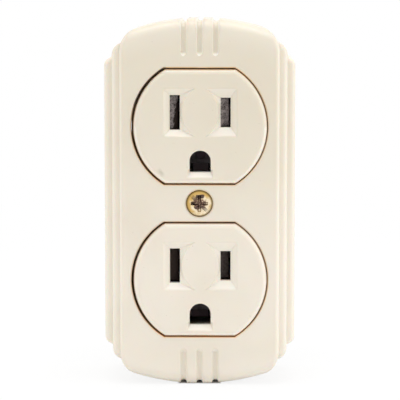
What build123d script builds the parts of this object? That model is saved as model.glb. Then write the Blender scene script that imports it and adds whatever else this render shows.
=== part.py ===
"""Surface mount duplex outlet: ivory cover and face on a dark base, with its contacts, strips and terminals.

Frame: +X to the right, +Z up, the wall is the plane y = 0 and the front looks along -Y.
Levels are distances from the wall towards the front.
"""

import os
from math import sqrt

from build123d import *

os.makedirs("parts", exist_ok=True)

# Outlets: two D-shaped noses in windows of the cover
outlet_pitch = 38.5
nose_radius = 16.77
window_gap = 0.33
bridge = 9.3
face_proud = 0.75
face_play = 0.19
nose_round = 1.4
nose_wall = 2.2
face_thick = 3.4

# Blade slots and earth hole of an outlet
blade_pitch = 12.7
blade_rise = 3.5
slot_width = 2.5
neutral_slot = 8.66
hot_slot = 7.4
earth_drop = 12.1
earth_radius = 2.65
earth_flat = 2.8
lead_depth = 1.2
lead_rise = 1.77
lead_outer = 1.65
lead_inner = 4.0
lead_waist = 0.5
earth_lead = 1.4
earth_lead_side = 0.55
earth_sill = 0.6

# Cover: arched slab with two narrower steps down at each side
cover_depth = 28.0
window_border = 2.9
end_border = 12.15
end_radius = 55.0
tier_count = 3
tier_tread = 2.0
tier_drop = 2.0
tier_set_in = 2.2
main_corner = 6.0
edge_round = 1.1
end_round = 2.5
side_wall = 2.2
front_wall = 2.5
flute_pitch = 4.0
flute_radius = 0.8
flute_margin = 2.95
boss_gap = 0.4

# Base and the plate of the face that sits on it
base_gap = 0.3
base_floor = 3.0
block_level = 18.0
block_corner = 2.0
plate_thick = 3.0
plate_lip = 0.65
plate_rim = 2.55
plate_corner = 4.0
plate_overhang = 2.4
pocket_rise = 1.0
pocket_gap = 0.4
wall_hole_inset = 7.6
wall_hole_radius = 2.2
notch_wall = 1.0
notch_margin = 3.25
notch_width = 12.0
notch_corner = 2.2

# Strips and their terminal plates
strip = 0.8
strip_bend = 0.4
bus_width = 3.0
bus_end = 3.6
ear_width = 5.0
terminal_rise = 8.5
terminal_drop = 2.0
terminal_plate_width = 8.5
strap_width = 4.0
strap_end = 2.8
strap_ear_drop = 2.0
strap_pad_rim = 0.3

# Spring contacts
leaf = 0.6
leaf_bend = 0.3
foot_gap = 0.2
blade_grip = 0.15
leaf_clear = 0.1
contact_inset = 0.4
contact_gap = 0.5
blade_flare = 1.6
earth_grip = 4.7
earth_mouth = 5.6
earth_flare = 3.0
earth_foot = 5.2
earth_contact_width = 5.0
earth_inset = 0.4

# Fasteners
fit = 0.05
thread_radius = 1.75
head_radius = 3.4
head_thick = 2.0
head_dome = 0.5
driver_width = 0.9
driver_depth = 0.8
terminal_length = 4.4
cover_head_radius = 3.35
cover_head_dome = 0.8
cover_head_gap = 0.12
cover_screw_rise = 3.2
recess_length = 4.4
recess_depth = 1.5
recess_taper = 10.0
screw_clearance = 0.4
insert_wall = 0.5
insert_flange = 0.95
insert_drop = 3.2
contact_rivet_radius = 0.9
contact_rivet_head = 1.35
contact_rivet_dome = 0.6
face_rivet_wall = 1.65
face_rivet_radius = 1.5
face_rivet_head = 2.6
face_rivet_dome = 1.0
face_rivet_set = 0.4

# Heights and widths that follow from the sizes above
upper_z = outlet_pitch / 2
lower_z = -outlet_pitch / 2
nose_flat = (outlet_pitch - bridge) / 2 - window_gap
window_end = upper_z + nose_flat + window_gap
half_height = window_end + end_border
main_half_width = nose_radius + window_gap + window_border
end_centre = half_height - end_radius
flute_start = window_end + flute_margin + sqrt(2) * flute_radius
boss_radius = bridge / 2 + window_gap - boss_gap
plate_half_width = nose_radius + plate_lip
plate_half_height = upper_z + nose_flat + plate_rim
block_half_width = plate_half_width - plate_overhang
block_half_height = plate_half_height - plate_overhang
base_half_width = main_half_width + (tier_count - 1) * tier_tread - side_wall - base_gap
wall_hole_rise = half_height - wall_hole_inset
notch_depth = base_half_width - block_half_width - notch_wall
notch_rise = terminal_rise + terminal_plate_width / 2 + notch_margin + notch_width / 2
blade_x = blade_pitch / 2
blade_foot = 2 * (contact_rivet_head + leaf_bend) + foot_gap
ear_half = ear_width / 2
terminal_face = block_half_width + strip
face_rivet_x = blade_x + (bus_width + pocket_gap) / 2 + face_rivet_wall + face_rivet_radius
screw_hole = thread_radius + screw_clearance
insert_spigot = thread_radius + insert_wall
insert_radius = insert_spigot + insert_flange
strap_pad_radius = insert_radius + strap_pad_rim

# Levels that follow from the sizes above
inner_level = cover_depth - front_wall
face_level = cover_depth + face_proud
plate_level = block_level + plate_thick
pocket_level = base_floor + pocket_rise
strip_level = pocket_level + strip
web_level = strip_level + leaf
foot_middle = strip_level + leaf / 2
mouth_level = face_level - face_thick - contact_gap
earth_mouth_level = block_level - earth_inset
terminal_top = block_level - terminal_drop
terminal_level = (strip_level + terminal_top) / 2
insert_top = block_level - insert_drop
cover_screw_end = strip_level + cover_screw_rise


def front(level, x=0.0):
    """Plane parallel to the wall; its normal looks towards the front."""
    return Plane(origin=(x, -level, 0), x_dir=(1, 0, 0), z_dir=(0, -1, 0))


def across(z):
    """Plane square to the height; local axes are x and the distance from the wall."""
    return Plane(origin=(0, 0, z), x_dir=(1, 0, 0), z_dir=(0, 0, -1))


def beside(x):
    """Plane square to the width; local axes are the height and the distance from the wall."""
    return Plane(origin=(x, 0, 0), x_dir=(0, 0, 1), z_dir=(1, 0, 0))


def tier_outline(tier, inset):
    """Arched outline of one tier on the wall plane, drawn in from the cover's outside by the inset."""
    radius = end_radius - tier * tier_set_in - inset
    half_width = main_half_width + tier * tier_tread - inset
    crown = end_centre + radius
    shoulder = end_centre + sqrt(radius**2 - half_width**2)
    with BuildSketch(front(0)) as outline:
        with BuildLine():
            ThreePointArc((half_width, shoulder), (0, crown), (-half_width, shoulder))
            Line((-half_width, shoulder), (-half_width, -shoulder))
            ThreePointArc((-half_width, -shoulder), (0, -crown), (half_width, -shoulder))
            Line((half_width, -shoulder), (half_width, shoulder))
        make_face()
        fillet(outline.vertices(), main_corner / (1 + tier))
    return outline.sketch


def nose_outline(level, z, grow, x=0.0):
    """D-shaped outline of an outlet, larger than the nose by the given growth."""
    with BuildSketch(front(level, x)) as outline:
        with Locations((0, z)):
            Circle(nose_radius + grow)
            Rectangle(3 * nose_radius, 2 * (nose_flat + grow), mode=Mode.INTERSECT)
    return outline.sketch


def lead_outline(level, x, z, side):
    """Mouth of a blade slot's lead-in pocket, bowed towards the slot on its inner side."""
    outer = x + side * (slot_width / 2 + lead_outer)
    inner = x - side * (slot_width / 2 + lead_inner)
    waist = x - side * (slot_width / 2 + lead_waist)
    top = z + neutral_slot / 2 + lead_rise
    bottom = z - neutral_slot / 2 - lead_rise
    with BuildSketch(front(level)) as outline:
        with BuildLine():
            Polyline((inner, bottom), (outer, bottom), (outer, top), (inner, top))
            ThreePointArc((inner, top), (waist, z), (inner, bottom))
        make_face()
    return outline.sketch


def box_outline(level, x, z, width, height):
    """Upright rectangle on a plane parallel to the wall."""
    with BuildSketch(front(level)) as outline:
        with Locations((x, z)):
            Rectangle(width, height)
    return outline.sketch


def blade_section(z, x):
    """Blade contact seen along the height: one bowed leaf that presses the blade against one straight leaf."""
    straight = x + slot_width / 2 + leaf_clear + leaf / 2
    lip = x - slot_width / 2 - leaf_clear - leaf / 2
    bow = x + slot_width / 2 - blade_grip - leaf / 2
    half_foot = (blade_foot + leaf) / 2
    with BuildSketch(across(z)) as section:
        with BuildLine():
            FilletPolyline((lip, mouth_level), (bow, mouth_level - blade_flare), (x - half_foot, foot_middle),
                           (x + half_foot, foot_middle), (straight, mouth_level),
                           radius=leaf_bend + leaf / 2)
        trace(line_width=leaf)
    return section.sketch


def earth_section(z):
    """Earth contact seen along the height: flat foot, two leaves that close in to the grip, flared mouth."""
    grip_at = earth_mouth_level - earth_flare
    half_grip = (earth_grip + leaf) / 2
    half_mouth = (earth_mouth + leaf) / 2
    half_foot = (earth_foot + leaf) / 2
    with BuildSketch(across(z)) as section:
        with BuildLine():
            FilletPolyline((-half_mouth, earth_mouth_level), (-half_grip, grip_at), (-half_foot, foot_middle),
                           (half_foot, foot_middle), (half_grip, grip_at), (half_mouth, earth_mouth_level),
                           radius=leaf_bend + leaf / 2)
        trace(line_width=leaf)
    return section.sketch


def terminal_section(z, side, inner):
    """Strip seen along the height: it runs out along the base and turns up beside the block."""
    middle = pocket_level + strip / 2
    upright = side * (block_half_width + strip / 2)
    with BuildSketch(across(z)) as section:
        with BuildLine():
            FilletPolyline((inner, middle), (upright, middle), (upright, terminal_top),
                           radius=strip_bend + strip / 2)
        trace(line_width=strip)
    return section.sketch


def terminal_plate(side, rise):
    """Outline of a terminal plate on the side of the block."""
    bottom = strip_level + strip_bend
    with BuildSketch(beside(side * block_half_width)) as outline:
        with Locations((rise, (bottom + terminal_top) / 2)):
            Rectangle(terminal_plate_width, terminal_top - bottom)
    return outline.sketch


def terminal_hole(side, rise):
    """Outline of the screw hole in a terminal plate."""
    with BuildSketch(beside(side * block_half_width)) as outline:
        with Locations((rise, terminal_level)):
            Circle(thread_radius)
    return outline.sketch


def screw_section(side, rise):
    """Half section of a terminal screw, head on the terminal plate and axis along the width."""
    seat = side * terminal_face
    with BuildSketch(across(rise)) as section:
        with BuildLine():
            Polyline((seat + side * head_thick, terminal_level + head_radius),
                     (seat, terminal_level + head_radius),
                     (seat, terminal_level + thread_radius - fit),
                     (seat - side * terminal_length, terminal_level + thread_radius - fit),
                     (seat - side * terminal_length, terminal_level),
                     (seat + side * (head_thick + head_dome), terminal_level))
            ThreePointArc((seat + side * (head_thick + head_dome), terminal_level),
                          (seat + side * (head_thick + 0.75 * head_dome), terminal_level + head_radius / 2),
                          (seat + side * head_thick, terminal_level + head_radius))
        make_face()
    return section.sketch


def screw_axis(rise):
    """Axis of a terminal screw."""
    return Axis((0, -terminal_level, rise), (1, 0, 0))


def blade_z(outlet):
    """Height of an outlet's blade line."""
    return outlet + blade_rise


def earth_z(outlet):
    """Height of the centre of an outlet's earth pin."""
    return outlet + blade_rise - earth_drop


strap_ear_z = earth_z(lower_z) - strap_ear_drop


# Cover
with BuildPart() as cover:
    for tier in reversed(range(tier_count)):
        extrude(tier_outline(tier, 0), amount=cover_depth - tier * tier_drop)
        fillet(cover.faces().sort_by(Axis.Y)[0].edges(), edge_round)
    for end in (1, -1):
        rim = end_radius - end_round
        brow = cover_depth - end_round
        with BuildSketch(across(end * end_centre)):
            with BuildLine():
                RadiusArc((rim, cover_depth), (end_radius, brow), end_round)
                Polyline((end_radius, brow), (end_radius + end_round, brow),
                         (end_radius + end_round, cover_depth + end_round),
                         (rim, cover_depth + end_round), (rim, cover_depth))
            make_face()
        revolve(axis=Axis((0, 0, end * end_centre), (0, -end, 0)), revolution_arc=180, mode=Mode.SUBTRACT)
    for tier in range(tier_count):
        extrude(tier_outline(tier, side_wall), amount=inner_level - tier * tier_drop, mode=Mode.SUBTRACT)
    for outlet in (upper_z, lower_z):
        extrude(nose_outline(inner_level, outlet, window_gap), amount=2 * front_wall, mode=Mode.SUBTRACT)
    for end in (1, -1):
        for step in (-1, 0, 1):
            flute_x = step * flute_pitch
            flute_end = end * (end_centre + sqrt(end_radius**2 - flute_x**2))
            with BuildLine(beside(flute_x)) as run:
                FilletPolyline((end * flute_start, cover_depth), (flute_end, cover_depth),
                               (flute_end, -flute_radius), radius=end_round)
            with BuildSketch(Plane(origin=run.line @ 0, z_dir=run.line % 0)):
                Circle(flute_radius)
            sweep(path=run.line, mode=Mode.SUBTRACT)
            with Locations((flute_x, -cover_depth, end * flute_start)):
                Sphere(flute_radius, mode=Mode.SUBTRACT)
            with BuildSketch(Plane(origin=(flute_x, -cover_depth, end * flute_start), z_dir=(0, -1, -end))):
                Circle(flute_radius)
            extrude(amount=3 * flute_radius, mode=Mode.SUBTRACT)
    with BuildSketch(front(plate_level)):
        Circle(boss_radius)
    extrude(amount=cover_depth - plate_level - front_wall / 2)
    with Locations(front(cover_depth)):
        CounterSinkHole(screw_hole, cover_head_radius + cover_head_gap,
                        counter_sink_angle=90)
cover.part.label = "cover"
export_step(cover.part, "parts/cover.step")

# Face with both outlets
with BuildPart() as receptacle_face:
    with BuildSketch(front(block_level, face_play)):
        RectangleRounded(2 * plate_half_width, 2 * plate_half_height, plate_corner)
    extrude(amount=plate_thick)
    for outlet in (upper_z, lower_z):
        extrude(nose_outline(block_level, outlet, 0, face_play), amount=face_level - block_level)
        nose_face = receptacle_face.faces().filter_by(Axis.Y).sort_by(Axis.Y)[0]
        fillet(nose_face.edges(), nose_round)
        extrude(nose_outline(block_level, outlet, -nose_wall, face_play),
                amount=face_level - face_thick - block_level, mode=Mode.SUBTRACT)
    for outlet in (upper_z, lower_z):
        for side, height in ((-1, neutral_slot), (1, hot_slot)):
            slot_x = side * blade_x + face_play
            loft([lead_outline(face_level, slot_x, blade_z(outlet), side),
                  box_outline(face_level - lead_depth, slot_x, blade_z(outlet), slot_width, height)],
                 ruled=True, mode=Mode.SUBTRACT)
            extrude(box_outline(block_level, slot_x, blade_z(outlet), slot_width, height),
                    amount=2 * (face_level - block_level), mode=Mode.SUBTRACT)
        with BuildSketch(front(block_level, face_play)):
            with Locations((0, earth_z(outlet))):
                Circle(earth_radius)
            with Locations((0, earth_z(outlet) - earth_flat / 2)):
                Rectangle(2 * earth_radius, earth_flat)
        extrude(amount=2 * (face_level - block_level), mode=Mode.SUBTRACT)
        sill = earth_z(outlet) - earth_flat
        loft([box_outline(face_level, face_play, sill + (earth_sill - earth_lead) / 2,
                          2 * (earth_radius + earth_lead_side), earth_sill + earth_lead),
              box_outline(face_level - lead_depth, face_play, sill + earth_sill / 2,
                          2 * earth_radius, earth_sill)], ruled=True, mode=Mode.SUBTRACT)
    with BuildSketch(front(block_level)):
        Circle(screw_hole + face_play)
        with Locations((face_rivet_x, 0), (-face_rivet_x, 0)):
            Circle(face_rivet_radius + face_play + fit)
    extrude(amount=2 * plate_thick, mode=Mode.SUBTRACT)
receptacle_face.part.label = "receptacle_face"
export_step(receptacle_face.part, "parts/receptacle_face.step")

# Base
with BuildPart() as base:
    for tier in range(tier_count):
        extrude(tier_outline(tier, side_wall + base_gap), amount=base_floor)
    with BuildSketch(front(0)):
        RectangleRounded(2 * block_half_width, 2 * block_half_height, block_corner)
    extrude(amount=block_level)
    with BuildSketch(front(pocket_level)):
        for side, height in ((-1, neutral_slot), (1, hot_slot)):
            bus_z = (blade_z(upper_z) + blade_z(lower_z)) / 2
            with Locations((side * blade_x, bus_z)):
                Rectangle(bus_width + pocket_gap, outlet_pitch + 2 * bus_end + pocket_gap)
            with Locations((side * blade_x, blade_z(upper_z)), (side * blade_x, blade_z(lower_z))):
                Rectangle(blade_foot + 2 * leaf + 2 * pocket_gap, height - contact_inset + 2 * pocket_gap)
            ear_x = side * (blade_x + terminal_face) / 2
            with Locations((ear_x, terminal_rise), (ear_x, -terminal_rise)):
                Rectangle(terminal_face - blade_x, ear_width + pocket_gap)
        strap_top = earth_z(upper_z) + strap_end + pocket_gap / 2
        strap_bottom = strap_ear_z - ear_half - pocket_gap / 2
        with Locations((0, (strap_top + strap_bottom) / 2)):
            Rectangle(strap_width + pocket_gap, strap_top - strap_bottom)
        with Locations((0, earth_z(upper_z)), (0, earth_z(lower_z))):
            Rectangle(earth_foot + 2 * leaf + 2 * pocket_gap, earth_contact_width + 2 * pocket_gap)
        with Locations((-terminal_face / 2, strap_ear_z)):
            Rectangle(terminal_face, ear_width + pocket_gap)
        Circle(strap_pad_radius + pocket_gap / 2)
    extrude(amount=block_level, mode=Mode.SUBTRACT)
    with BuildSketch(front(0)):
        with Locations((face_rivet_x, 0), (-face_rivet_x, 0)):
            Circle(face_rivet_radius + fit)
        with Locations((0, wall_hole_rise), (0, -wall_hole_rise)):
            Circle(wall_hole_radius)
        with Locations((base_half_width, notch_rise), (-base_half_width, notch_rise)):
            RectangleRounded(2 * notch_depth, notch_width, notch_corner)
    extrude(amount=block_level, mode=Mode.SUBTRACT)
    with BuildSketch(front(0)):
        with Locations((face_rivet_x, 0), (-face_rivet_x, 0)):
            Circle(face_rivet_head + pocket_gap / 2)
    extrude(amount=face_rivet_set + face_rivet_dome, mode=Mode.SUBTRACT)
base.part.label = "base"
export_step(base.part, "parts/base.step")

# Live strips, each with two terminal plates at the side of the block
for bus_name, side in (("neutral_bus", -1), ("hot_bus", 1)):
    with BuildPart() as bus:
        with BuildSketch(front(pocket_level)):
            with Locations((side * blade_x, (blade_z(upper_z) + blade_z(lower_z)) / 2)):
                Rectangle(bus_width, outlet_pitch + 2 * bus_end)
            with Locations((side * blade_x, blade_z(upper_z)), (side * blade_x, blade_z(lower_z))):
                Circle(contact_rivet_radius + fit, mode=Mode.SUBTRACT)
        extrude(amount=strip)
        for rise in (terminal_rise, -terminal_rise):
            extrude(terminal_section(rise, side, side * blade_x), amount=ear_half, both=True)
            extrude(terminal_plate(side, rise), amount=side * strip)
            extrude(terminal_hole(side, rise), amount=side * strip, mode=Mode.SUBTRACT)
    bus.part.label = bus_name
    export_step(bus.part, f"parts/{bus_name}.step")

# Earth strip, with its terminal plate at the lower left
with BuildPart() as ground_strap:
    with BuildSketch(front(pocket_level)):
        strap_z = (earth_z(upper_z) + strap_end + strap_ear_z - ear_half) / 2
        with Locations((0, strap_z)):
            Rectangle(strap_width, earth_z(upper_z) + strap_end - strap_ear_z + ear_half)
        Circle(strap_pad_radius)
    extrude(amount=strip)
    extrude(terminal_section(strap_ear_z, -1, 0), amount=ear_half, both=True)
    extrude(terminal_plate(-1, strap_ear_z), amount=-strip)
    extrude(terminal_hole(-1, strap_ear_z), amount=-strip, mode=Mode.SUBTRACT)
    with BuildSketch(front(pocket_level)):
        Circle(insert_spigot + fit)
        with Locations((0, earth_z(upper_z)), (0, earth_z(lower_z))):
            Circle(contact_rivet_radius + fit)
    extrude(amount=strip, mode=Mode.SUBTRACT)
ground_strap.part.label = "ground_strap"
export_step(ground_strap.part, "parts/ground_strap.step")

# Spring contacts of the blades, folded from one strip each
for outlet_name, outlet in (("upper", upper_z), ("lower", lower_z)):
    for pole, side, height in (("neutral", -1, neutral_slot), ("hot", 1, hot_slot)):
        with BuildPart() as contact:
            extrude(blade_section(blade_z(outlet), side * blade_x), amount=(height - contact_inset) / 2, both=True)
            with BuildSketch(front(strip_level)):
                with Locations((side * blade_x, blade_z(outlet))):
                    Circle(contact_rivet_radius + fit)
            extrude(amount=2 * leaf, mode=Mode.SUBTRACT)
        contact.part.label = f"{outlet_name}_{pole}_contact"
        export_step(contact.part, f"parts/{outlet_name}_{pole}_contact.step")

# Spring contacts of the earth pins
for outlet_name, outlet in (("upper", upper_z), ("lower", lower_z)):
    with BuildPart() as earth_contact:
        extrude(earth_section(earth_z(outlet)), amount=earth_contact_width / 2, both=True)
        with BuildSketch(front(strip_level)):
            with Locations((0, earth_z(outlet))):
                Circle(contact_rivet_radius + fit)
        extrude(amount=2 * leaf, mode=Mode.SUBTRACT)
    earth_contact.part.label = f"{outlet_name}_ground_contact"
    export_step(earth_contact.part, f"parts/{outlet_name}_ground_contact.step")

# Rivets of the blade contacts
with BuildPart() as contact_rivets:
    with BuildSketch(front(pocket_level)):
        with GridLocations(blade_pitch, outlet_pitch, 2, 2):
            with Locations((0, blade_rise)):
                Circle(contact_rivet_radius)
    extrude(amount=strip + leaf)
    with BuildSketch(front(web_level)):
        with GridLocations(blade_pitch, outlet_pitch, 2, 2):
            with Locations((0, blade_rise)):
                Circle(contact_rivet_head)
    extrude(amount=contact_rivet_dome)
contact_rivets.part.label = "contact_rivets"
export_step(contact_rivets.part, "parts/contact_rivets.step")

# Rivets of the earth contacts
with BuildPart() as ground_rivets:
    with BuildSketch(front(pocket_level)):
        with Locations((0, earth_z(upper_z)), (0, earth_z(lower_z))):
            Circle(contact_rivet_radius)
    extrude(amount=strip + leaf)
    with BuildSketch(front(web_level)):
        with Locations((0, earth_z(upper_z)), (0, earth_z(lower_z))):
            Circle(contact_rivet_head)
    extrude(amount=contact_rivet_dome)
ground_rivets.part.label = "ground_rivets"
export_step(ground_rivets.part, "parts/ground_rivets.step")

# Rivets that hold the face on the base
with BuildPart() as face_rivets:
    with BuildSketch(front(face_rivet_set)):
        with Locations((face_rivet_x, 0), (-face_rivet_x, 0)):
            Circle(face_rivet_head)
    extrude(amount=face_rivet_dome)
    with BuildSketch(front(face_rivet_set)):
        with Locations((face_rivet_x, 0), (-face_rivet_x, 0)):
            Circle(face_rivet_radius)
    extrude(amount=plate_level - face_rivet_set)
    with BuildSketch(front(plate_level)):
        with Locations((face_rivet_x, 0), (-face_rivet_x, 0)):
            Circle(face_rivet_head)
    extrude(amount=face_rivet_dome)
face_rivets.part.label = "face_rivets"
export_step(face_rivets.part, "parts/face_rivets.step")

# Threaded bush for the cover screw, set into the earth strip
with BuildPart() as screw_insert:
    with BuildSketch(front(pocket_level)):
        Circle(insert_spigot)
    extrude(amount=strip)
    with BuildSketch(front(strip_level)):
        Circle(insert_radius)
    extrude(amount=insert_top - strip_level)
    with BuildSketch(front(pocket_level)):
        Circle(thread_radius)
    extrude(amount=insert_top - pocket_level, mode=Mode.SUBTRACT)
screw_insert.part.label = "screw_insert"
export_step(screw_insert.part, "parts/screw_insert.step")

# Cover screw: oval head with a cross recess and one driver slot
with BuildPart() as cover_screw:
    with BuildSketch(beside(0)):
        with BuildLine():
            Polyline((0, cover_depth + cover_head_dome), (0, cover_screw_end),
                     (thread_radius - fit, cover_screw_end),
                     (thread_radius - fit, cover_depth - cover_head_radius + thread_radius - fit),
                     (cover_head_radius, cover_depth))
            ThreePointArc((cover_head_radius, cover_depth),
                          (cover_head_radius / 2, cover_depth + 0.75 * cover_head_dome),
                          (0, cover_depth + cover_head_dome))
        make_face()
    revolve(axis=Axis((0, 0, 0), (0, 1, 0)))
    with BuildSketch(front(cover_depth + cover_head_dome - driver_depth)):
        Rectangle(3 * cover_head_radius, driver_width, rotation=-45)
    extrude(amount=2 * cover_head_dome, mode=Mode.SUBTRACT)
    with BuildSketch(front(cover_depth + cover_head_dome)):
        Rectangle(recess_length, driver_width)
        Rectangle(driver_width, recess_length)
    extrude(amount=-recess_depth, taper=recess_taper, mode=Mode.SUBTRACT)
cover_screw.part.label = "cover_screw"
export_step(cover_screw.part, "parts/cover_screw.step")


# Terminal screws, their heads against the terminal plates
terminal_sets = (("neutral_terminal_screws", -1, (terminal_rise, -terminal_rise)),
                 ("hot_terminal_screws", 1, (terminal_rise, -terminal_rise)),
                 ("ground_terminal_screw", -1, (strap_ear_z,)))
for set_name, side, rises in terminal_sets:
    with BuildPart() as terminals:
        for rise in rises:
            revolve(screw_section(side, rise), axis=screw_axis(rise))
            with BuildSketch(beside(side * (terminal_face + head_thick + head_dome - driver_depth))):
                with Locations((rise, terminal_level)):
                    Rectangle(3 * head_radius, driver_width)
            extrude(amount=side * 2 * driver_depth, mode=Mode.SUBTRACT)
    terminals.part.label = set_name
    export_step(terminals.part, f"parts/{set_name}.step")
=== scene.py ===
# %% [markdown]
# # A surface mount duplex outlet
#
# The solids of the outlet are finished when this lesson starts: an ivory cover and an ivory face, a dark
# base behind them, and the brass and plated metal inside. They come in as a fixed frame, in metres, with
# the wall at y = 0 and the front looking along -Y. What is left for us is how the outlet looks: the finish
# of each piece, the floor and the room, the light and the camera.

# %% Load the frame
import math

import bpy
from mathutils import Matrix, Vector


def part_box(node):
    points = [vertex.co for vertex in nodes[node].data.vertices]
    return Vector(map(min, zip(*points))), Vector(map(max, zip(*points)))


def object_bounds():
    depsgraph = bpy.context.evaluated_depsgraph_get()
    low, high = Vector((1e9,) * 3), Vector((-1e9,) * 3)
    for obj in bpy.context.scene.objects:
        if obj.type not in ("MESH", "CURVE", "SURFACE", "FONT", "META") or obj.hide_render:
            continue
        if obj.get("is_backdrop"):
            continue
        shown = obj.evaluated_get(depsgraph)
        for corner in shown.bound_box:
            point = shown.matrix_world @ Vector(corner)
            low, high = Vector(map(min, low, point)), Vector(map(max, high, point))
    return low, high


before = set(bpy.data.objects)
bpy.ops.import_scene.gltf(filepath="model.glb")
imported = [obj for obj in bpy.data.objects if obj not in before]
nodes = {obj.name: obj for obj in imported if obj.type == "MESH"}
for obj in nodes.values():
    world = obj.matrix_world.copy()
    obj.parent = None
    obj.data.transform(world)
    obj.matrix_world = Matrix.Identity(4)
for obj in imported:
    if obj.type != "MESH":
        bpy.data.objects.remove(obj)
cad_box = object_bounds()
mm = 0.001
print("pieces in the frame:", len(nodes))
print("size in mm:", [round((high - low) / mm, 2) for low, high in zip(*cad_box)])

# %% [markdown]
# Every finish below is painted with shader nodes, and most of it is arithmetic: a distance here, a mask
# there. The nodes could be placed and linked one by one, but `1 - mask * 0.5` reads better than two Math
# nodes and their links. So one small class wraps a socket and turns operators into Math nodes, and its
# `node` method makes every other kind of node: settings first, then the inputs.


# %% A socket that can be used in sums
class Wire:
    """One shader socket. Operators on it add Math nodes, and node() adds any other node."""

    def __init__(self, tree, socket=None):
        self.tree = tree
        self.socket = socket

    def node(self, kind, settings=None, inputs=None, output=0):
        """Adds a node, with its settings first and then a value or a wire for each input."""
        made = self.tree.nodes.new("ShaderNode" + kind)
        for name, value in (settings or {}).items():
            setattr(made, name, value)
        for name, value in (inputs or {}).items():
            if isinstance(value, Wire):
                self.tree.links.new(value.socket, made.inputs[name])
            else:
                made.inputs[name].default_value = value
        return Wire(self.tree, made.outputs[output] if len(made.outputs) else None)

    def math(self, operation, *others):
        """Adds one Math node for this value and the others."""
        return self.node("Math", {"operation": operation}, dict(enumerate((self, *others))))

    def __add__(self, other):
        return self.math("ADD", other)

    def __sub__(self, other):
        return self.math("SUBTRACT", other)

    def __rsub__(self, other):
        return self.node("Math", {"operation": "SUBTRACT"}, {0: other, 1: self})

    def __mul__(self, other):
        return self.math("MULTIPLY", other)

    __radd__ = __add__
    __rmul__ = __mul__

    def size(self):
        """The value without its sign."""
        return self.math("ABSOLUTE")

    def root(self):
        """The square root of the value."""
        return self.math("SQRT")

    def larger(self, other):
        """The larger of two values."""
        return self.math("MAXIMUM", other)

    def smaller(self, other):
        """The smaller of two values."""
        return self.math("MINIMUM", other)

    def ease(self, start, end):
        """Goes smoothly from 0 at start to 1 at end."""
        limits = {"Value": self, "From Min": start, "From Max": end}
        return self.node("MapRange", {"interpolation_type": "SMOOTHSTEP"}, limits)

    # A Mix node has sockets for every type of data: 4 and 5 are its vectors, 6 and 7 its colours.
    def blend(self, low, high):
        """Vector that goes from low to high as this value goes from 0 to 1."""
        return self.node("Mix", {"data_type": "VECTOR"}, {0: self, 4: low, 5: high}, output=1)

    def tint(self, low, high):
        """Colour that goes from low to high as this value goes from 0 to 1."""
        return self.node("Mix", {"data_type": "RGBA"}, {0: self, 6: low, 7: high}, output=2)


print("operators ready:", [name for name in vars(Wire) if name.startswith("__r")])

# %% [markdown]
# A finish needs a place to start from. A picture wrapped round a piece would first need the piece unfolded.
# All the pieces share the frame's own coordinates, so the place on the object, in millimetres, is simpler: a
# grain of 0.3 is then really 0.3 mm, and a stain stays where it is put. `begin` opens an empty material and
# returns that place, `surface` closes it with one Principled shader, and `dress` puts it on a piece.


# %% Open and close a material
def begin(name):
    """Empty material and the place on the object in millimetres."""
    material = bpy.data.materials.new(name)
    material.use_nodes = True
    material.node_tree.nodes.clear()
    start = Wire(material.node_tree)
    metres = start.node("TexCoord", output="Object")
    place = start.node("VectorMath", {"operation": "SCALE"}, {0: metres, "Scale": 1 / mm})
    return material, place


def surface(place, **inputs):
    """Closes a material with a Principled shader."""
    sockets = {name.replace("_", " "): value for name, value in inputs.items()}
    shader = place.node("BsdfPrincipled", {}, sockets)
    place.node("OutputMaterial", {}, {"Surface": shader})


def dress(node, material):
    """Gives a piece of the frame its material."""
    nodes[node].data.materials.clear()
    nodes[node].data.materials.append(material)


print("materials at the start:", len(bpy.data.materials))

# %% [markdown]
# Three helpers serve nearly every finish. Noise breaks up what would be too even. A Bump node lets that noise
# stand out by hundredths of a millimetre, which is far too fine for a mesh. Edges could be rounded with a
# modifier, but these solids must stay as they are, so a Bevel node rounds them in the shading only.


# %% Noise, relief and soft edges
def noise(place, grain, detail=2.0, roughness=0.5):
    """Smooth noise around 0.5 with spots of about the given size."""
    settings = {"Vector": place, "Scale": 1 / grain, "Detail": detail, "Roughness": roughness}
    return place.node("TexNoise", {}, settings)


def bump(height, depth, strength, normal):
    """Normal that follows a height from 0 to 1, with its depth in millimetres, over another normal."""
    inputs = {"Height": height, "Distance": depth * mm, "Strength": strength, "Normal": normal}
    return height.node("Bump", {}, inputs)


def soft_edges(place, radius):
    """Normal that rounds the sharp edges of a piece by a radius in millimetres."""
    return place.node("Bevel", {"samples": 6}, {"Radius": radius * mm})


print("helpers ready:", [helper.__name__ for helper in (noise, bump, soft_edges)])

# %% [markdown]
# The cover and the face are two mouldings in ivory urea plastic. One flat colour would do for a sketch, but
# up close such a moulding is never even: the colour drifts, single dark grains show in it, and the skin has a
# fine orange peel from the mould. The colour is also painted paler towards the lower end, as painted light
# from the floor below. One function gives the colour and one the skin, so both pieces look alike. The plastic
# lets a little light in below its surface, which keeps its edges and gaps warm: that is a constant on the
# shader.


# %% Ivory plastic
def rgb(red, green, blue):
    """Colour as a shader socket takes it."""
    return (red, green, blue, 1.0)


def axes(vector):
    """The three coordinates of a vector."""
    return [vector.node("SeparateXYZ", {}, {0: vector}, output=axis) for axis in "XYZ"]


ivory_upper = rgb(0.775, 0.708, 0.582)
ivory_lit_below = rgb(0.855, 0.79, 0.69)
ivory_drift = rgb(0.745, 0.675, 0.54)
ivory_painted_light = rgb(0.92, 0.87, 0.78)
grime = rgb(0.3, 0.2, 0.11)
lit_below = -30.0
plain_above = 38.0
under_skin = {"Subsurface_Weight": 0.25, "Subsurface_Radius": (1.0, 0.5, 0.25),
              "Subsurface_Scale": 1.0 * mm, "IOR": 1.5}


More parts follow.
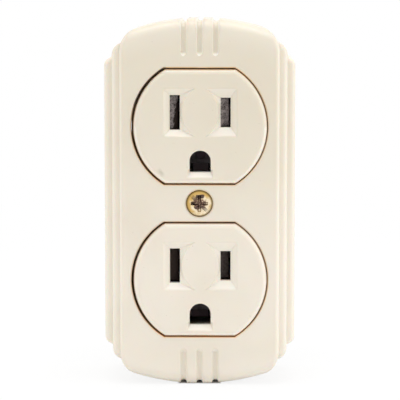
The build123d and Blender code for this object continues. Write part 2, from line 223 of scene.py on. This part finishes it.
def ivory(place):
    """Ivory painted paler towards the lower end as painted light, with a slow drift and a few dark grains."""
    height = axes(place)[2]
    # painted light: the ivory is paler towards the lower end, as if lit from the floor below
    lit_from_below = height.ease(lit_below, plain_above).tint(ivory_lit_below, ivory_upper)
    drift = noise(place, 26.0, 3.0).ease(0.4, 0.75) * 0.5
    grains = noise(place, 0.55, 1.0).ease(0.75, 0.8) * 0.2
    return grains.tint(drift.tint(lit_from_below, ivory_drift), grime)


def ivory_skin(place, peel, edges):
    """Normal of moulded plastic: a faint wave and a fine peel over the normal of the edges."""
    wave = bump(noise(place, 9.0), 0.03, 0.25, edges)
    return bump(noise(place, peel, 3.0), 0.012, 0.35, wave)


print("ivory from", [round(v, 2) for v in ivory_upper[:3]], "to", [round(v, 2) for v in ivory_lit_below[:3]])

# %% [markdown]
# Wear and dirt on the front follow its outlines: the windows, the screw hole and the arched ends. Masks
# could be painted by hand, vertex by vertex, and would be as coarse as the mesh. These outlines are simple
# shapes, so a distance from each of them is a short sum: a circle cut by two straight lines for a window, and
# a plain circle for the rest. In the masks that follow, the two numbers of an `ease` are the millimetres over
# which a mask comes in, and a factor at its end says how strongly it shows.

# %% Distances on the front
outlet_rise = 19.25
window_radius = 17.1
window_half = 14.6


def circle_distance(x, z, radius):
    """Distance from a circle, below 0 inside it."""
    return (x * x + z * z).root() - radius


def window_distance(place):
    """Distance from the nearer outlet window in millimetres, below 0 inside it."""
    x, _, z = axes(place)
    rise = z.size() - outlet_rise
    return circle_distance(x, rise, window_radius).larger(rise.size() - window_half)


print("windows at +/-", outlet_rise, "mm, each", 2 * window_half, "mm high")

# %% [markdown]
# The cover is one moulding with arched ends, steps down at both sides and three flutes over each end. Its
# colour carries painted light: the steps and other faces set back from the front are painted paler to lift
# their shade, less so inside the flutes, the lips and rounded tips of the flutes carry a painted highlight,
# and towards the arched ends the front is painted paler as a painted highlight too. A single rule such as
# "edges are pale" would put a white line round everything, so each place has a mask of its own, and the
# strongest mask wins.

# %% Cover: the paler places, all painted light
cover_front = -28.0
half_height = 46.0
end_radius = 55.0
flute_pitch = 4.0
flute_start = 36.8

cover_ivory, place = begin("cover_ivory")
x, y, z = axes(place)
depth = y - cover_front
end_distance = circle_distance(x, z.size() + (end_radius - half_height), end_radius)
at_end = end_distance.ease(-4.5, -2.0)
off_flute = x.size().smaller((x.size() - flute_pitch).size())
at_flutes = off_flute.ease(1.0, 0.85) * z.size().ease(flute_start - 0.6, flute_start)
lips = off_flute.ease(0.55, 0.7)
tips = z.size().ease(flute_start + 1.2, flute_start + 0.6)
# painted highlight on the lips and the rounded tips of the flutes
painted_light = at_flutes * lips.larger(tips) * depth.ease(0.0, 0.05) * 0.9
# painted highlight on the front towards the arched ends
end_highlight = end_distance.ease(-8.0, -1.0) * depth.ease(1.0, 0.5) * 0.3
# painted light on faces set back from the front, lifting their shade, less of it inside the flutes
recess_light = depth.ease(0.0, 0.4) * (1 - at_end) * (0.35 - at_flutes * 0.2)
plain_cover = recess_light.larger(painted_light).larger(end_highlight).tint(ivory(place), ivory_painted_light)
print("cover shaded, nodes so far:", len(cover_ivory.node_tree.nodes))

# %% [markdown]
# The gap round each window and round the screw is painted with shade: a warm brown, lighter at the outer ends
# of both windows and at the lower end of the upper one. Painted shadow also widens the gaps onto the front
# itself: black at the upper left of the upper window, brown at its upper right and at the lower window's
# right side, and light brown along the upper window's top, with a lighter spot in it. Such lines could be
# drawn as thin meshes, but only masks let them fade and change colour along the way.

# %% Cover: painted shade in the gaps
screw_hole_radius = 3.47
lighter_spot_at = 0.6
shade_brown = rgb(0.5, 0.24, 0.045)
shade_brown_light = rgb(0.95, 0.55, 0.2)
edge_shade_brown = rgb(0.62, 0.4, 0.2)
soot_and_shade = rgb(0.05, 0.03, 0.022)


def gap_shade(z):
    """Painted shade of the gaps in brown, lighter at the outer ends of both windows and at the upper one's
    lower end.
    """
    upper_low_end = z.ease(0.0, 3.0) * z.ease(14.0, 7.0) * 0.7
    return z.size().ease(28.0, 33.0).larger(upper_low_end).tint(shade_brown, shade_brown_light)


window_edge = window_distance(place).size()
# painted shade: brown in the window gaps and round the screw hole
in_gap = (1 - window_edge.ease(0.05, 0.4)) * (depth.ease(0.0, 0.7) * 0.35 + 0.55)
near_screw = 1 - circle_distance(x, z, screw_hole_radius).size().ease(0.0, 0.4)
colour = in_gap.larger(near_screw * 0.3).tint(plain_cover, gap_shade(z))

# painted shade in light brown along the upper window's top, with a lighter spot in it
lighter_spot = (x - lighter_spot_at).size().ease(1.8, 0.6) * 0.6
along_top = (1 - window_edge.ease(0.2, 0.32)) * z.ease(33.0, 33.5) * x.size().ease(9.2, 8.6)
colour = (along_top * (1 - lighter_spot) * 0.8).tint(colour, edge_shade_brown)

# painted shadow that widens the gaps onto the front, black towards the left
left = x.ease(1.0, -1.0)
upper_corners = x.size().ease(7.5, 9.5) * z.ease(20.0, 26.0)
lower_right = x.ease(12.0, 15.0) * z.ease(-5.0, -12.0)
painted_gap_shadow = (1 - window_edge.ease(0.12, 0.28)) * upper_corners.larger(lower_right) * (left * 0.5 + 0.45)
colour = painted_gap_shadow.tint(colour, left.tint(shade_brown, soot_and_shade))
print("cover stained, nodes so far:", len(cover_ivory.node_tree.nodes))

# %% [markdown]
# The moulded edges of the cover are crisp at the steps, soft round the flutes, and softest along the
# arched ends. Three soft edges of different size are blended by the masks from before. The gloss is that of
# old urea: satin, and dull in places.

# %% Cover: edges and gloss
edges = at_end.blend(soft_edges(place, 0.25), soft_edges(place, 2.5))
edges = at_flutes.blend(edges, soft_edges(place, 0.6))
dull = noise(place, 7.0, 4.0) * 0.14 + 0.3
surface(place, Base_Color=colour, Roughness=dull, Normal=ivory_skin(place, 0.7, edges), **under_skin)
dress("cover", cover_ivory)
print("cover painted, nodes used:", len(cover_ivory.node_tree.nodes))

# %% [markdown]
# The face carries the two outlets. What looks up in the lower half of an outlet is painted paler, as painted
# light from above: the slopes of the lead-in pockets, the sills and the lower rims. The rest of the pockets
# is painted a little paler than the front as well, the walls between the slots and what looks down most, to
# lift their shade. Faces of the mesh could be picked by hand for that, but its own normal says which way a
# slope looks, and the depth below the front tells front, pocket and hole apart. Both outlets share one sum:
# the lower one is first moved up to the place of the upper one.

# %% Face: the places painted with light
face_front = -28.75
slot_inner_edge = 5.1

face_ivory, place = begin("face_ivory")
x, y, z = axes(place)
depth = y - face_front
upward = axes(place.node("NewGeometry", output="True Normal"))[2]
as_upper = z + z.math("LESS_THAN", 0.0) * 2 * outlet_rise
at_rim = window_distance(place).ease(-2.0, -1.4)
between_slots = x.size().ease(slot_inner_edge + 0.5, slot_inner_edge - 0.1)
lower_half = as_upper.ease(outlet_rise + 0.55, outlet_rise - 0.65)
# painted light from above on what looks up in the lower half of an outlet, and on the rims
lit_slopes = upward.ease(0.1, 0.4).larger(at_rim) * lower_half * 0.85
painted_light = depth.ease(0.03, 0.3) * lit_slopes.larger(0.12)
# painted light that lifts the shade on the walls between the slots and on what looks down
other_walls = between_slots.larger(upward.ease(-0.1, -0.25)) * (1 - at_rim)
painted_light = painted_light.larger(depth.ease(0.035, 0.11) * other_walls * 0.45)
plain_face = painted_light.tint(ivory(place), ivory_painted_light)
print("face shaded, nodes so far:", len(face_ivory.node_tree.nodes))

# %% [markdown]
# The face has one kind of dirt and two of painted shade. One grey scuff lies beside the earth hole of the
# upper
# outlet: a streak, turned and frayed by noise. The rims that dip into the windows carry the painted brown
# shade of the gap. Deep inside, the plastic is painted dark grey as painted shade, but not on the lower wall
# of each earth hole. A picture could be laid over the face, but sums in millimetres put each mark where it
# belongs.

# %% Face: scuff and painted shade
scuff_at = Vector((-9.6, 0.0, 7.8))
scuff_turn = math.radians(-52)
scuff_grey = rgb(0.42, 0.41, 0.3)
inner_shade_grey = rgb(0.2, 0.165, 0.165)
earth_sill = 8.05
earth_half_width = 2.75

along = (x - scuff_at.x) * math.cos(scuff_turn) + (z - scuff_at.z) * math.sin(scuff_turn)
aside = (z - scuff_at.z) * math.cos(scuff_turn) - (x - scuff_at.x) * math.sin(scuff_turn)
frayed = aside + noise(place, 0.8, 3.0) * 0.8 - 0.4
scuff = (1 - along.size().ease(0.2, 1.5)) * (1 - frayed.size().ease(0.1, 0.8)) * 0.45
colour = scuff.tint(plain_face, scuff_grey)

# painted shade: the brown of the gap on the rims that dip into the windows
gap_shaded = depth.ease(0.35, 1.45) * at_rim * 0.9
colour = gap_shaded.tint(colour, gap_shade(z))

# painted shade deep inside, left off the lower wall of each earth hole
on_earth_sill = as_upper.ease(earth_sill, earth_sill - 0.15)
in_earth_hole = x.size().ease(earth_half_width + 0.25, earth_half_width)
patchy = (noise(place, 0.9, 3.0) + x * 0.1).ease(0.35, 0.6)
unshaded_sill = on_earth_sill * in_earth_hole * depth.ease(10.25, 6.75) * patchy
painted_inner_shade = depth.ease(1.75, 3.25) * (1 - at_rim) * (1 - unshaded_sill)
colour = painted_inner_shade.tint(colour, inner_shade_grey)
print("face stained, nodes so far:", len(face_ivory.node_tree.nodes))

# %% [markdown]
# On the front the edges of the face are well rounded by wear. Those of the pockets between the slots are
# so shallow that a wide soft edge would draw grey arcs there, so they stay crisp, and so do the edges deeper
# in. Plugs have polished the face, and it is a bit glossier than the cover.

# %% Face: edges and gloss
edges = depth.ease(0.45, 0.15).blend(soft_edges(place, 0.15), soft_edges(place, 0.7))
edges = (between_slots * (1 - at_rim)).blend(edges, soft_edges(place, 0.2))
dull = noise(place, 5.0, 4.0) * 0.14 + 0.26
surface(place, Base_Color=colour, Roughness=dull, Normal=ivory_skin(place, 0.6, edges), **under_skin)
dress("receptacle_face", face_ivory)
print("face painted, nodes used:", len(face_ivory.node_tree.nodes))

# %% [markdown]
# Behind the ivory sits the base, pressed from dark phenolic powder. Wood flour in the powder shows as lighter
# brown flecks. Real flecks could be scattered as tiny chips, but they lie flush in the surface, so a coarse
# noise mottles the brown and a fine one adds the flecks.

# %% Dark base
brown_dark = rgb(0.03, 0.016, 0.011)
brown_warm = rgb(0.075, 0.037, 0.022)
wood_flour = rgb(0.16, 0.085, 0.045)

base_phenolic, place = begin("base_phenolic")
mottle = noise(place, 5.0, 4.0, 0.6).ease(0.3, 0.75)
fleck = noise(place, 0.6).ease(0.62, 0.72) * 0.5
colour = fleck.tint(mottle.tint(brown_dark, brown_warm), wood_flour)
skin = bump(noise(place, 0.8, 3.0), 0.02, 0.5, soft_edges(place, 0.25))
surface(place, Base_Color=colour, Roughness=mottle * 0.2 + 0.38, IOR=1.55, Normal=skin)
dress("base", base_phenolic)
print("base painted, nodes used:", len(base_phenolic.node_tree.nodes))

# %% [markdown]
# The metal parts are brass, plated strip or plated screws. Each could have a material of its own, but all
# have the same story: bright metal under a thin uneven tarnish, with fine lines from rolling or turning. So
# one function tells that story, and each metal gives it its own colours. A metal that lies where soot or dust
# settles, or in painted shade, adds a mask for it, and one that has gone dull is less metallic.

# %% Metals
dust_top = -8.0


def metal(name, bright, tarnished, shine, stretch, members, veil=None, veiled=soot_and_shade, metallic=1.0, grain=2.4):
    """Finish of a metal: its two colours, roughness where bright, and direction of the fine lines."""
    material, place = begin(name)
    drawn = place.node("VectorMath", {"operation": "MULTIPLY"}, {0: place, 1: stretch})
    lines = noise(drawn, 0.35)
    tarnish = noise(place, grain, 4.0, 0.6).ease(0.4, 0.72)
    colour = tarnish.tint(bright, tarnished)
    roughness = tarnish * 0.25 + lines * 0.1 + shine
    if veil:
        mask = veil(place)
        colour = mask.tint(colour, veiled)
        roughness = roughness.larger(mask * 0.75)
    relief = bump(lines, 0.01, 0.4, soft_edges(place, 0.12))
    surface(place, Base_Color=colour, Metallic=metallic, Roughness=roughness, Normal=relief)
    for member in members:
        dress(member, material)
    print(name, "on", ", ".join(members))


def pocket_dust(place):
    """Dust in the bottom of the base's pockets."""
    return axes(place)[1].ease(dust_top, dust_top + 1.5) * 0.95


along_height = (1.0, 1.0, 0.12)
even = (1.0, 1.0, 1.0)
brass = rgb(0.78, 0.55, 0.22)
brass_tarnish = rgb(0.5, 0.3, 0.11)
plating = rgb(0.72, 0.7, 0.67)
plating_tarnish = rgb(0.42, 0.38, 0.36)
green_dye = rgb(0.09, 0.34, 0.13)
green_tarnish = rgb(0.04, 0.17, 0.07)
pocket_grey = rgb(0.62, 0.51, 0.57)

brass_strips = ["hot_bus", "ground_strap", "screw_insert"]
brass_rivets = ["contact_rivets", "ground_rivets"]
metal("screw_brass_dull", brass, brass_tarnish, 0.22, even, ["hot_terminal_screws"])
metal("strip_brass", brass, brass_tarnish, 0.3, along_height, brass_strips, pocket_dust, pocket_grey)
metal("strip_plated", plating, plating_tarnish, 0.3, along_height, ["neutral_bus"], pocket_dust, pocket_grey)
metal("rivet_brass", brass, brass_tarnish, 0.3, even, brass_rivets, pocket_dust, pocket_grey)
metal("rivet_steel", plating, plating_tarnish, 0.32, even, ["face_rivets"])
metal("screw_silver", plating, plating_tarnish, 0.22, even, ["neutral_terminal_screws"])
metal("screw_green", green_dye, green_tarnish, 0.28, even, ["ground_terminal_screw"])

# %% [markdown]
# Through the slots of the upper outlet one sees the spring contacts: plated strip gone dull and mottled, with
# a ragged black patch along the right side of the left one. The lower contacts are almost black. A torn edge
# in the mesh could give that patch, but it is painted shade on whole metal. Blades have worn the upper
# contacts bare. Painted shade lies in the depth and in that patch, and soot over the lower contacts and in
# thin dark cracks. Four masks say so, and the largest of them wins. The earth contacts are only dusty.

# %% Contacts
blade_x = 6.35
blade_z = 22.75
contact_tip = -22.6
contact_worn = rgb(0.72, 0.65, 0.64)
contact_dark = rgb(0.2, 0.17, 0.17)
earth_pale = rgb(0.9, 0.8, 0.82)
earth_grey = rgb(0.6, 0.54, 0.53)


def contact_soot_and_shade(place):
    """Painted shade in the depth and in a ragged patch, and soot on the lower outlet and in thin cracks."""
    x, y, z = axes(place)
    ragged = noise(place, 1.2, 5.0, 0.7) * 3.0 - 1.5
    # painted shade in the depth of the contacts
    depth_shade = y.ease(contact_tip, contact_tip + 2.6)
    lower = z.ease(2.0, -2.0) * (ragged + 1.2).ease(-0.4, 0.4) * 0.9
    right_of_edge = (x + blade_x) * 1.3 - (z - blade_z) * 0.22 + ragged
    # painted shade in a ragged patch, where the gap between the leaves lies
    leaf_gap_shade = x.ease(1.0, -1.0) * right_of_edge.ease(0.1, 0.35)
    cracks = 1 - (noise(place, 3.0, 4.0) - 0.5).size().ease(0.006, 0.02)
    return depth_shade.larger(lower).larger(leaf_gap_shade).larger(cracks * 0.7) * 0.97


blade_contacts = [f"{row}_{pole}_contact" for row in ("upper", "lower") for pole in ("neutral", "hot")]
earth_contacts = ["upper_ground_contact", "lower_ground_contact"]
metal("contact_plated", contact_worn, contact_dark, 0.4, even, blade_contacts, contact_soot_and_shade,
      metallic=0.3, grain=0.5)
metal("contact_dusty", earth_pale, earth_grey, 0.5, even, earth_contacts, metallic=0.1)

# %% [markdown]
# The cover screw is the one bright metal on the front. Its dome is polished brass with faint rings from
# turning. Its colour carries painted reflection: pale cream towards the lower right, golden towards the upper
# left and the rim, and a dark olive ring at the rim is painted shade. It also has a brown smear round the
# recess. The recess is whatever lies below the dome, so `sunk` is the height of the dome minus the height of
# the surface, and no face has to be picked. Its edges are worn bright.

# %% Cover screw: dome
dome_top = 28.8
dome_height = 0.8
dome_radius = 3.35
polished = rgb(0.93, 0.79, 0.56)
golden = rgb(0.66, 0.43, 0.14)
olive = rgb(0.15, 0.095, 0.028)
smear_brown = rgb(0.2, 0.105, 0.075)

screw_brass, place = begin("screw_brass")
x, y, z = axes(place)
square = x * x + z * z
radius = square.root()
sunk = dome_top - square * (dome_height / dome_radius ** 2) + y
# painted reflection: pale cream towards the lower right, golden towards the upper left and the rim
shaded = (noise(place, 1.6, 3.0) + radius.ease(1.8, 2.9) * 0.3 + z * 0.06 - x * 0.06).ease(0.45, 0.85)
# painted shade: a dark olive ring at the rim
rim_shade = radius.ease(2.75, 3.2) * 0.92
flaked = 1 - noise(place, 0.35).ease(0.54, 0.64)
smear = (radius + noise(place, 0.9, 4.0) * 2.4).ease(3.1, 2.5) * flaked * 0.9
worn = sunk.ease(0.02, 0.08) * sunk.ease(0.24, 0.12) * radius.ease(2.6, 2.2) * 0.8
dome = shaded.tint(polished, golden)
dome = rim_shade.tint(dome, olive)
dome = smear.tint(dome, smear_brown)
dome = worn.tint(dome, polished)
print("dome painted, nodes so far:", len(screw_brass.node_tree.nodes))

# %% [markdown]
# Dirt has stayed in the cross recess and in the driver slot, but not everywhere: the lower and the right arm
# are half clean, the middle is scratched by the driver, and the slot has a thinner film. Two lumps are
# packed hard above and below the middle, and lighter brown specks in it are painted glints. One mask for all
# of it would print a neat black cross, so each of these is taken away from the dirt, or added to it.

# %% Cover screw: dirt in the recess
recess_dirt = rgb(0.07, 0.042, 0.04)
glint_brown = rgb(0.5, 0.3, 0.22)
lump_above = Vector((0.13, 0.0, 1.8))
lump_below = Vector((-0.75, 0.0, -0.8))

lower_arm = z.ease(-1.0, -1.5) * x.size().ease(0.9, 0.6) * 0.7
right_arm = x.ease(0.9, 1.3) * z.size().ease(0.8, 0.5) * 0.6
scratched = radius.ease(1.3, 0.8) * noise(place, 0.4).ease(0.45, 0.58) * 0.7
in_slot = (x + z).size().ease(0.9, 0.4) * radius.ease(1.0, 1.5) * 0.35
cleaned = lower_arm.larger(right_arm).larger(scratched).larger(in_slot)
uneven = noise(place, 0.7, 3.0).ease(0.3, 0.7) * 0.25 + 0.72
dirt = sunk.ease(0.12, 0.55) * uneven * (1 - cleaned)

wobble = noise(place, 0.6, 3.0) * 0.5 - 0.25
wide = ((x - lump_above.x).size() + wobble).ease(1.2, 0.95)
high = ((z - lump_above.z).size() + wobble).ease(0.52, 0.36)
round_lump = (circle_distance(x - lump_below.x, z - lump_below.z, 0.0) + wobble).ease(0.65, 0.45)
packed = (wide * high).larger(round_lump) * 0.95
# painted glints: lighter brown specks in the recess dirt
painted_glints = noise(place, 0.3).ease(0.5, 0.62) * radius.ease(1.5, 0.9)
colour = packed.larger(dirt).tint(dome, painted_glints.tint(recess_dirt, glint_brown))

rings = noise(place.node("CombineXYZ", {}, {"X": radius}), 0.16)
roughness = (rings * 0.12 + 0.14).larger(dirt * 0.6).larger(rim_shade * 0.4).larger(smear.larger(packed) * 0.5)
relief = bump(rings, 0.01, 0.5, soft_edges(place, 0.1))
surface(place, Base_Color=colour, Metallic=1.0, Roughness=roughness, Normal=relief)
dress("cover_screw", screw_brass)
print("screw painted, nodes used:", len(screw_brass.node_tree.nodes))

# %% [markdown]
# The outlet stands on a pale floor against white. A floor that is only white paint would turn grey away from
# the lamps, and stronger lamps would bleach the outlet. So for the camera most of its brightness is given
# to it, and the rest is real diffuse paint, which keeps the shadow. Under the ends of the flutes, where
# no light gets in, the floor keeps to its paint.

# %% Floor
floor_level = cad_box[0].z
floor_reach = 4.0
floor_grey = rgb(0.87, 0.87, 0.865)
floor_pale = rgb(0.9, 0.9, 0.895)
white = rgb(1, 1, 1)


def white_for_eyes(start):
    """1 where the camera, a reflection or glass looks, and 0 for light that only bounces."""
    camera, glossy, glass = [start.node("LightPath", output=f"Is {ray} Ray")
                             for ray in ("Camera", "Glossy", "Transmission")]
    return camera.larger(glossy).larger(glass)


mesh = bpy.data.meshes.new("floor")
corners = [(floor_reach * right, floor_reach * behind, floor_level)
           for right, behind in ((-1, -1), (1, -1), (1, 1), (-1, 1))]
mesh.from_pydata(corners, [], [(0, 1, 2, 3)])
floor = bpy.data.objects.new("floor", mesh)
bpy.context.scene.collection.objects.link(floor)
floor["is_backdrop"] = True

floor_paint, place = begin("floor_paint")
x, y, _ = axes(place)
tone = noise(place, 60.0).tint(floor_grey, floor_pale)
paint = place.node("BsdfDiffuse", {}, {"Color": tone})
glow = place.node("Emission", {}, {"Color": white, "Strength": 1.0})
front_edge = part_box("cover")[0].y / mm
beside_flutes = x.size().ease(4.9, 5.7)
before_cover = (y - front_edge).ease(3.0, 1.0)
behind_cover = y.ease(-3.0, 0.0)
in_the_open = beside_flutes.larger(before_cover).larger(behind_cover)
far_away = circle_distance(x, y, 0.0).ease(60.0, 400.0)
share = white_for_eyes(place) * in_the_open * (far_away * 0.15 + 0.85)
mixed = place.node("MixShader", {}, {0: share, 1: paint, 2: glow})
place.node("OutputMaterial", {}, {"Surface": mixed})
floor.data.materials.append(floor_paint)
print("floor at", round(floor_level / mm, 2), "mm")

# %% [markdown]
# The room does two jobs. The camera and the brass should see a white studio, and the outlet should get an
# even soft light that is weaker than that white. One room can't be both, so a Mix Shader gives the eyes the
# white one and the bounced light the soft one.

# %% Room
room_light = 0.735

world = bpy.data.worlds.new("studio")
world.use_nodes = True
world.node_tree.nodes.clear()
bpy.context.scene.world = world
sky = Wire(world.node_tree)
white_room = sky.node("Background", {}, {"Color": white, "Strength": 1.0})
soft_room = sky.node("Background", {}, {"Color": white, "Strength": room_light})
seen = sky.node("MixShader", {}, {0: white_for_eyes(sky), 1: soft_room, 2: white_room})
sky.node("OutputWorld", {}, {"Surface": seen})
print("even light in the room:", room_light)

# %% [markdown]
# The photograph has soft light from all around, with more of it from above: upper edges are pale, the
# front is a calm ivory, and only the slots and the gaps are dark. The even part comes from the room. A sun
# would throw hard shadows, so the rest comes from wide area lamps: one overhead brightens whatever looks up,
# and it is kept weak enough that the top doesn't bleach. Two weak lamps, one at each side, show the steps of
# the cover, and the right one is the stronger.

# %% Lamps
middle = (cad_box[0] + cad_box[1]) / 2


def softbox(name, spot, size, power):
    """Square area lamp at a spot, looking at the middle of the outlet."""
    lamp = bpy.data.lights.new(name, "AREA")
    lamp.size = size
    lamp.energy = power
    made = bpy.data.objects.new(name, lamp)
    made.location = spot
    made.rotation_mode = "QUATERNION"
    made.rotation_quaternion = (middle - Vector(spot)).to_track_quat("-Z", "Y")
    bpy.context.scene.collection.objects.link(made)
    print(name, "at", [round(v, 2) for v in spot])


softbox("overhead", spot=(0.0, -0.08, 0.9), size=0.7, power=4.4)
softbox("right", spot=(0.9, -0.2, 0.2), size=0.6, power=2.5)
softbox("left", spot=(-0.9, -0.2, 0.2), size=0.6, power=1.1)

# %% [markdown]
# The camera stands almost level with the outlet, six degrees above it and a little to its right. A short lens
# close by would spread the side steps, but here they show as narrow bands, with only a little of the top, so
# it has a long lens and stands half a metre away.

# %% Camera
picture = 400
focal_pixels = 2083
sensor = 36.0
target = Vector((0.148, cover_front, 0.87)) * mm
distance = 521 * mm
rise_angle = math.radians(5.92)
side_angle = math.radians(0.9)
level_share = math.cos(rise_angle)
back = Vector((math.sin(side_angle) * level_share, -math.cos(side_angle) * level_share, math.sin(rise_angle)))
camera_data = bpy.data.cameras.new("camera")
camera_data.sensor_width = sensor
camera_data.lens = focal_pixels * sensor / picture
camera_data.clip_start = 0.01
camera_data.clip_end = 20
camera = bpy.data.objects.new("camera", camera_data)
camera.location = target + back * distance
camera.rotation_mode = "QUATERNION"
camera.rotation_quaternion = (-back).to_track_quat("-Z", "Y")
bpy.context.scene.collection.objects.link(camera)
bpy.context.scene.camera = camera
bpy.context.scene.view_settings.view_transform = "Standard"
print("lens in mm:", round(camera_data.lens, 1))

# %% [markdown]
# Last, the outlet must still have the size it had when it came in. Both boxes are compared, and the largest
# change of a side is printed.

# %% Sizes and finish
visual_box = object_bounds()
changes = [abs(a - b) for c, v in zip(cad_box, visual_box) for a, b in zip(c, v)]
print("largest change of a side in mm:", round(max(changes) / mm, 4))
